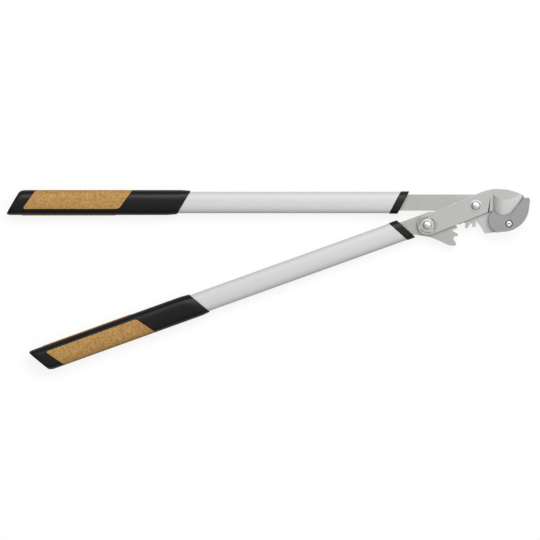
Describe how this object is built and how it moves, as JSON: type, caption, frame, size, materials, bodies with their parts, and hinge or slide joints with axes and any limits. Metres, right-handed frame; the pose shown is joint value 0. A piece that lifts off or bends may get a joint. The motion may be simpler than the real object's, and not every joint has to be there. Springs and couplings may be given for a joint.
{
  "type": "geared anvil lopper",
  "caption": "Two-handed anvil lopper with toothed tangs in mesh, a curved blade on a link bar, a hooked anvil, oval tube handles and cork-inlaid grips.",
  "frame": {"origin": "on the main pivot's axis, at the flat end of its bolt, on the surface that the tool lies on", "axes": "+X along the upper handle towards the jaw, +Y to that handle's outer side, +Z from the back link up to the blade"},
  "size_m": [0.8001, 0.2761, 0.028],
  "materials": {
    "tang_steel": "satin",
    "blade_steel": "satin ground",
    "anvil_cast": "matte cast",
    "bright_bolt": "polished",
    "bronze": "plain",
    "zinc_plate": "zinc plated",
    "tube_finish": "satin",
    "black_plastic": "moulded",
    "black_grip": "soft moulded",
    "cork": "pressed cork",
    "orange": "moulded"
  },
  "bodies": {
    "upper_handle": {"upper_tang": "tang_steel", "anvil": "anvil_cast", "anvil_screw": "bright_bolt", "upper_collar": "black_plastic", "upper_tang_core": "black_plastic", "upper_pin_front": "zinc_plate", "upper_pin_rear": "zinc_plate", "upper_tube": "tube_finish", "upper_grip": "black_grip", "upper_cork_pad": "cork", "upper_grip_stripe": "orange"},
    "blade": {"blade": "blade_steel", "back_link": "tang_steel", "main_pivot_bolt": "bright_bolt", "main_pivot_bushing": "bronze", "main_pivot_washer": "zinc_plate", "main_pivot_nut": "zinc_plate", "gear_pivot_bolt": "bright_bolt", "gear_pivot_bushing": "bronze", "gear_pivot_disc": "blade_steel", "gear_pivot_washer": "zinc_plate", "gear_pivot_nut": "zinc_plate"},
    "lower_handle": {"lower_tang": "tang_steel", "lower_collar": "black_plastic", "lower_tang_core": "black_plastic", "lower_pin_front": "zinc_plate", "lower_pin_rear": "zinc_plate", "lower_tube": "tube_finish", "lower_grip": "black_grip", "lower_cork_pad": "cork", "lower_grip_stripe": "orange"}
  },
  "joints": [
    {"name": "blade_pivot", "type": "hinge", "parent": "upper_handle", "child": "blade", "pos_m": [0, 0, 0.01345], "axis": [0, 0, 1], "range_deg": [0, 52.1]},
    {"name": "handle_pivot", "type": "hinge", "parent": "blade", "child": "lower_handle", "pos_m": [-0.07433, -0.02958, 0.01345], "axis": [0, 0, 1], "range_deg": [0, 38]}
  ],
  "couplings": [
    {"joint": "blade_pivot", "follows": "handle_pivot", "ratio": 1.3684}
  ]
}
